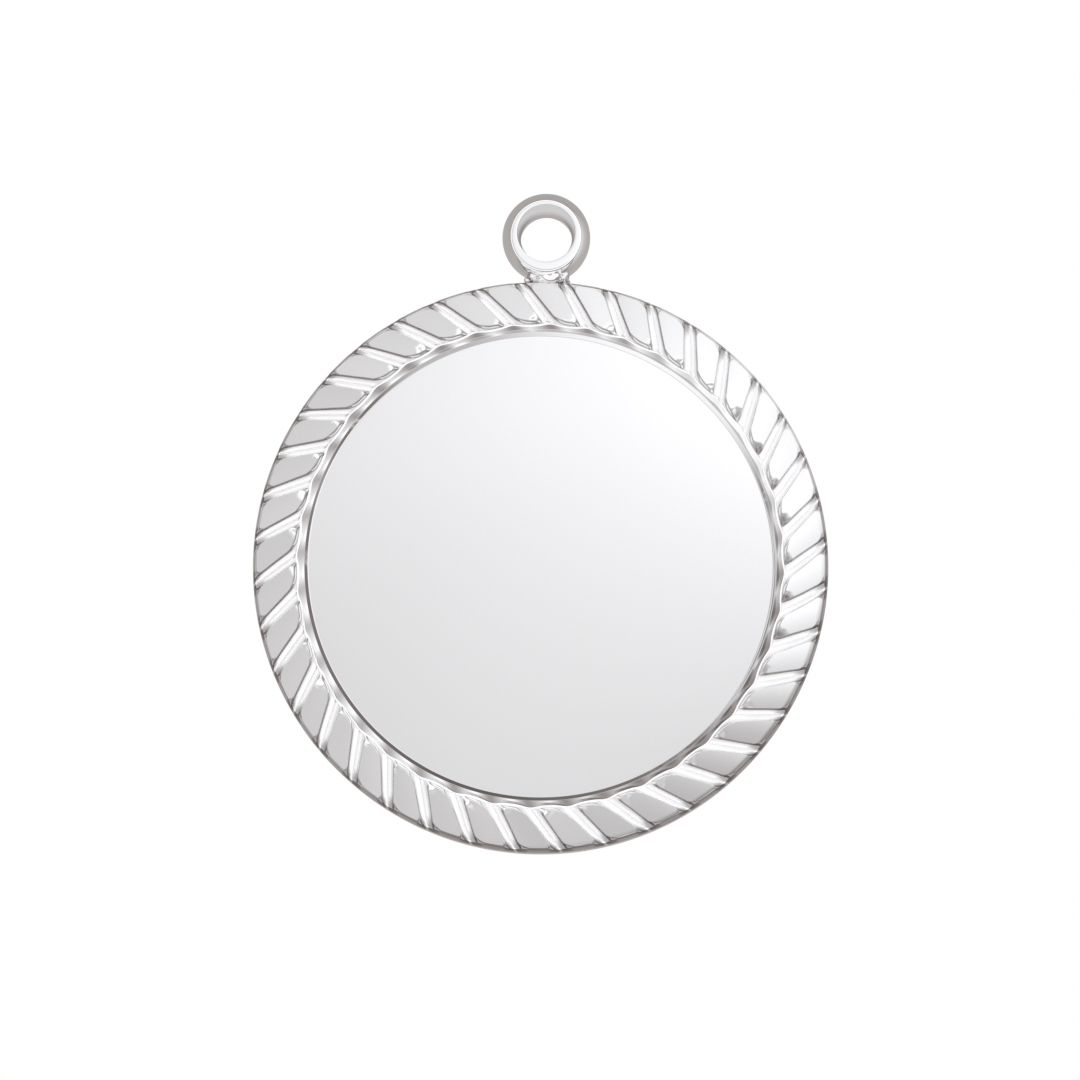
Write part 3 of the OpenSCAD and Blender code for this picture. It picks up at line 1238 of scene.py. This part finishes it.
class PENDANT_OT_stage(bpy.types.Operator):
    """Lay the floor, light the tent and aim the camera"""

    bl_idname = "pendant.stage"
    bl_label = "Floor, light and camera"

    def execute(self, context):
        scene = context.scene
        stage = scene.pendant_stage
        floor_look = glowing_material("white_floor", WHITE, WHITE, stage.shade_radius)
        floor = round_floor("floor", stage.floor_radius, floor_look)
        shown_only_to(floor, camera=True)
        shade_look = glowing_material("mirrored_floor", stage.grey, stage.dark, stage.shade_radius)
        shade = round_floor("mirrored_floor", stage.floor_radius, shade_look)
        shown_only_to(shade, camera=False)

        patch_look = glowing_material("bright_floor", stage.patch, stage.grey, stage.patch_radius)
        direction = stage.patch_direction
        patch_way = Vector((math.sin(direction), math.cos(direction), 0))
        patch_centre = patch_way * stage.patch_distance + UP * SHEET_GAP
        patch = round_floor("bright_floor", stage.patch_radius, patch_look, patch_centre)
        shown_only_to(patch, camera=False)

        ring = scene.pendant_ring
        reach = 0.7 * ring.hole
        hole_look = glowing_material("light_in_the_hole", stage.hole, stage.dark, reach, upright=0.4)
        hole_centre = Vector((ring.shift, ring.rise - stage.hole_drop, 2 * SHEET_GAP))
        light = round_floor("light_in_the_hole", ring.hole + ring.flare, hole_look, hole_centre)
        shown_only_to(light, camera=False)

        scene.world = bpy.data.worlds.new("light_tent")
        light_tent(scene.world)
        aim_camera(stage, scene.pendant_disc.height / 2)
        scene.view_settings.view_transform = "Standard"
        return {"FINISHED"}


class PENDANT_PT_panel(bpy.types.Panel):
    """Lists the pendant's pieces in the order they are made"""

    bl_idname = "PENDANT_PT_panel"
    bl_label = "Disc pendant"
    bl_space_type = "VIEW_3D"
    bl_region_type = "UI"
    bl_category = "Pendant"

    def draw(self, context):
        for operator in OPERATORS:
            self.layout.operator(operator.bl_idname)
        for name in SETTINGS:
            group = getattr(context.scene, name)
            box = self.layout.box()
            for key in group.bl_rna.properties.keys():
                if key not in {"rna_type", "name"}:
                    box.prop(group, key)


OPERATORS = [PENDANT_OT_disc, PENDANT_OT_lobes, PENDANT_OT_ring, PENDANT_OT_solder, PENDANT_OT_stage]
SETTINGS = {
    "pendant_disc": DiscSizes,
    "pendant_rope": RopeSizes,
    "pendant_ring": RingSizes,
    "pendant_solder": SolderSizes,
    "pendant_silver": SilverFinish,
    "pendant_stage": StageSizes,
}


def register():
    """Registers the settings, the operators and the panel."""
    for group in SETTINGS.values():
        bpy.utils.register_class(group)
    for name, group in SETTINGS.items():
        setattr(bpy.types.Scene, name, PointerProperty(type=group))
    for operator in OPERATORS:
        bpy.utils.register_class(operator)
    bpy.utils.register_class(PENDANT_PT_panel)


def unregister():
    """Takes back what register does, in reverse."""
    bpy.utils.unregister_class(PENDANT_PT_panel)
    for operator in reversed(OPERATORS):
        bpy.utils.unregister_class(operator)
    for name in SETTINGS:
        delattr(bpy.types.Scene, name)
    for group in reversed(SETTINGS.values()):
        bpy.utils.unregister_class(group)


def main():
    """Builds the pendant and its stage."""
    register()
    bpy.ops.pendant.disc()
    bpy.ops.pendant.lobes()
    bpy.ops.pendant.ring()
    bpy.ops.pendant.solder()
    bpy.ops.pendant.stage()


if __name__ == "__main__":
    main()
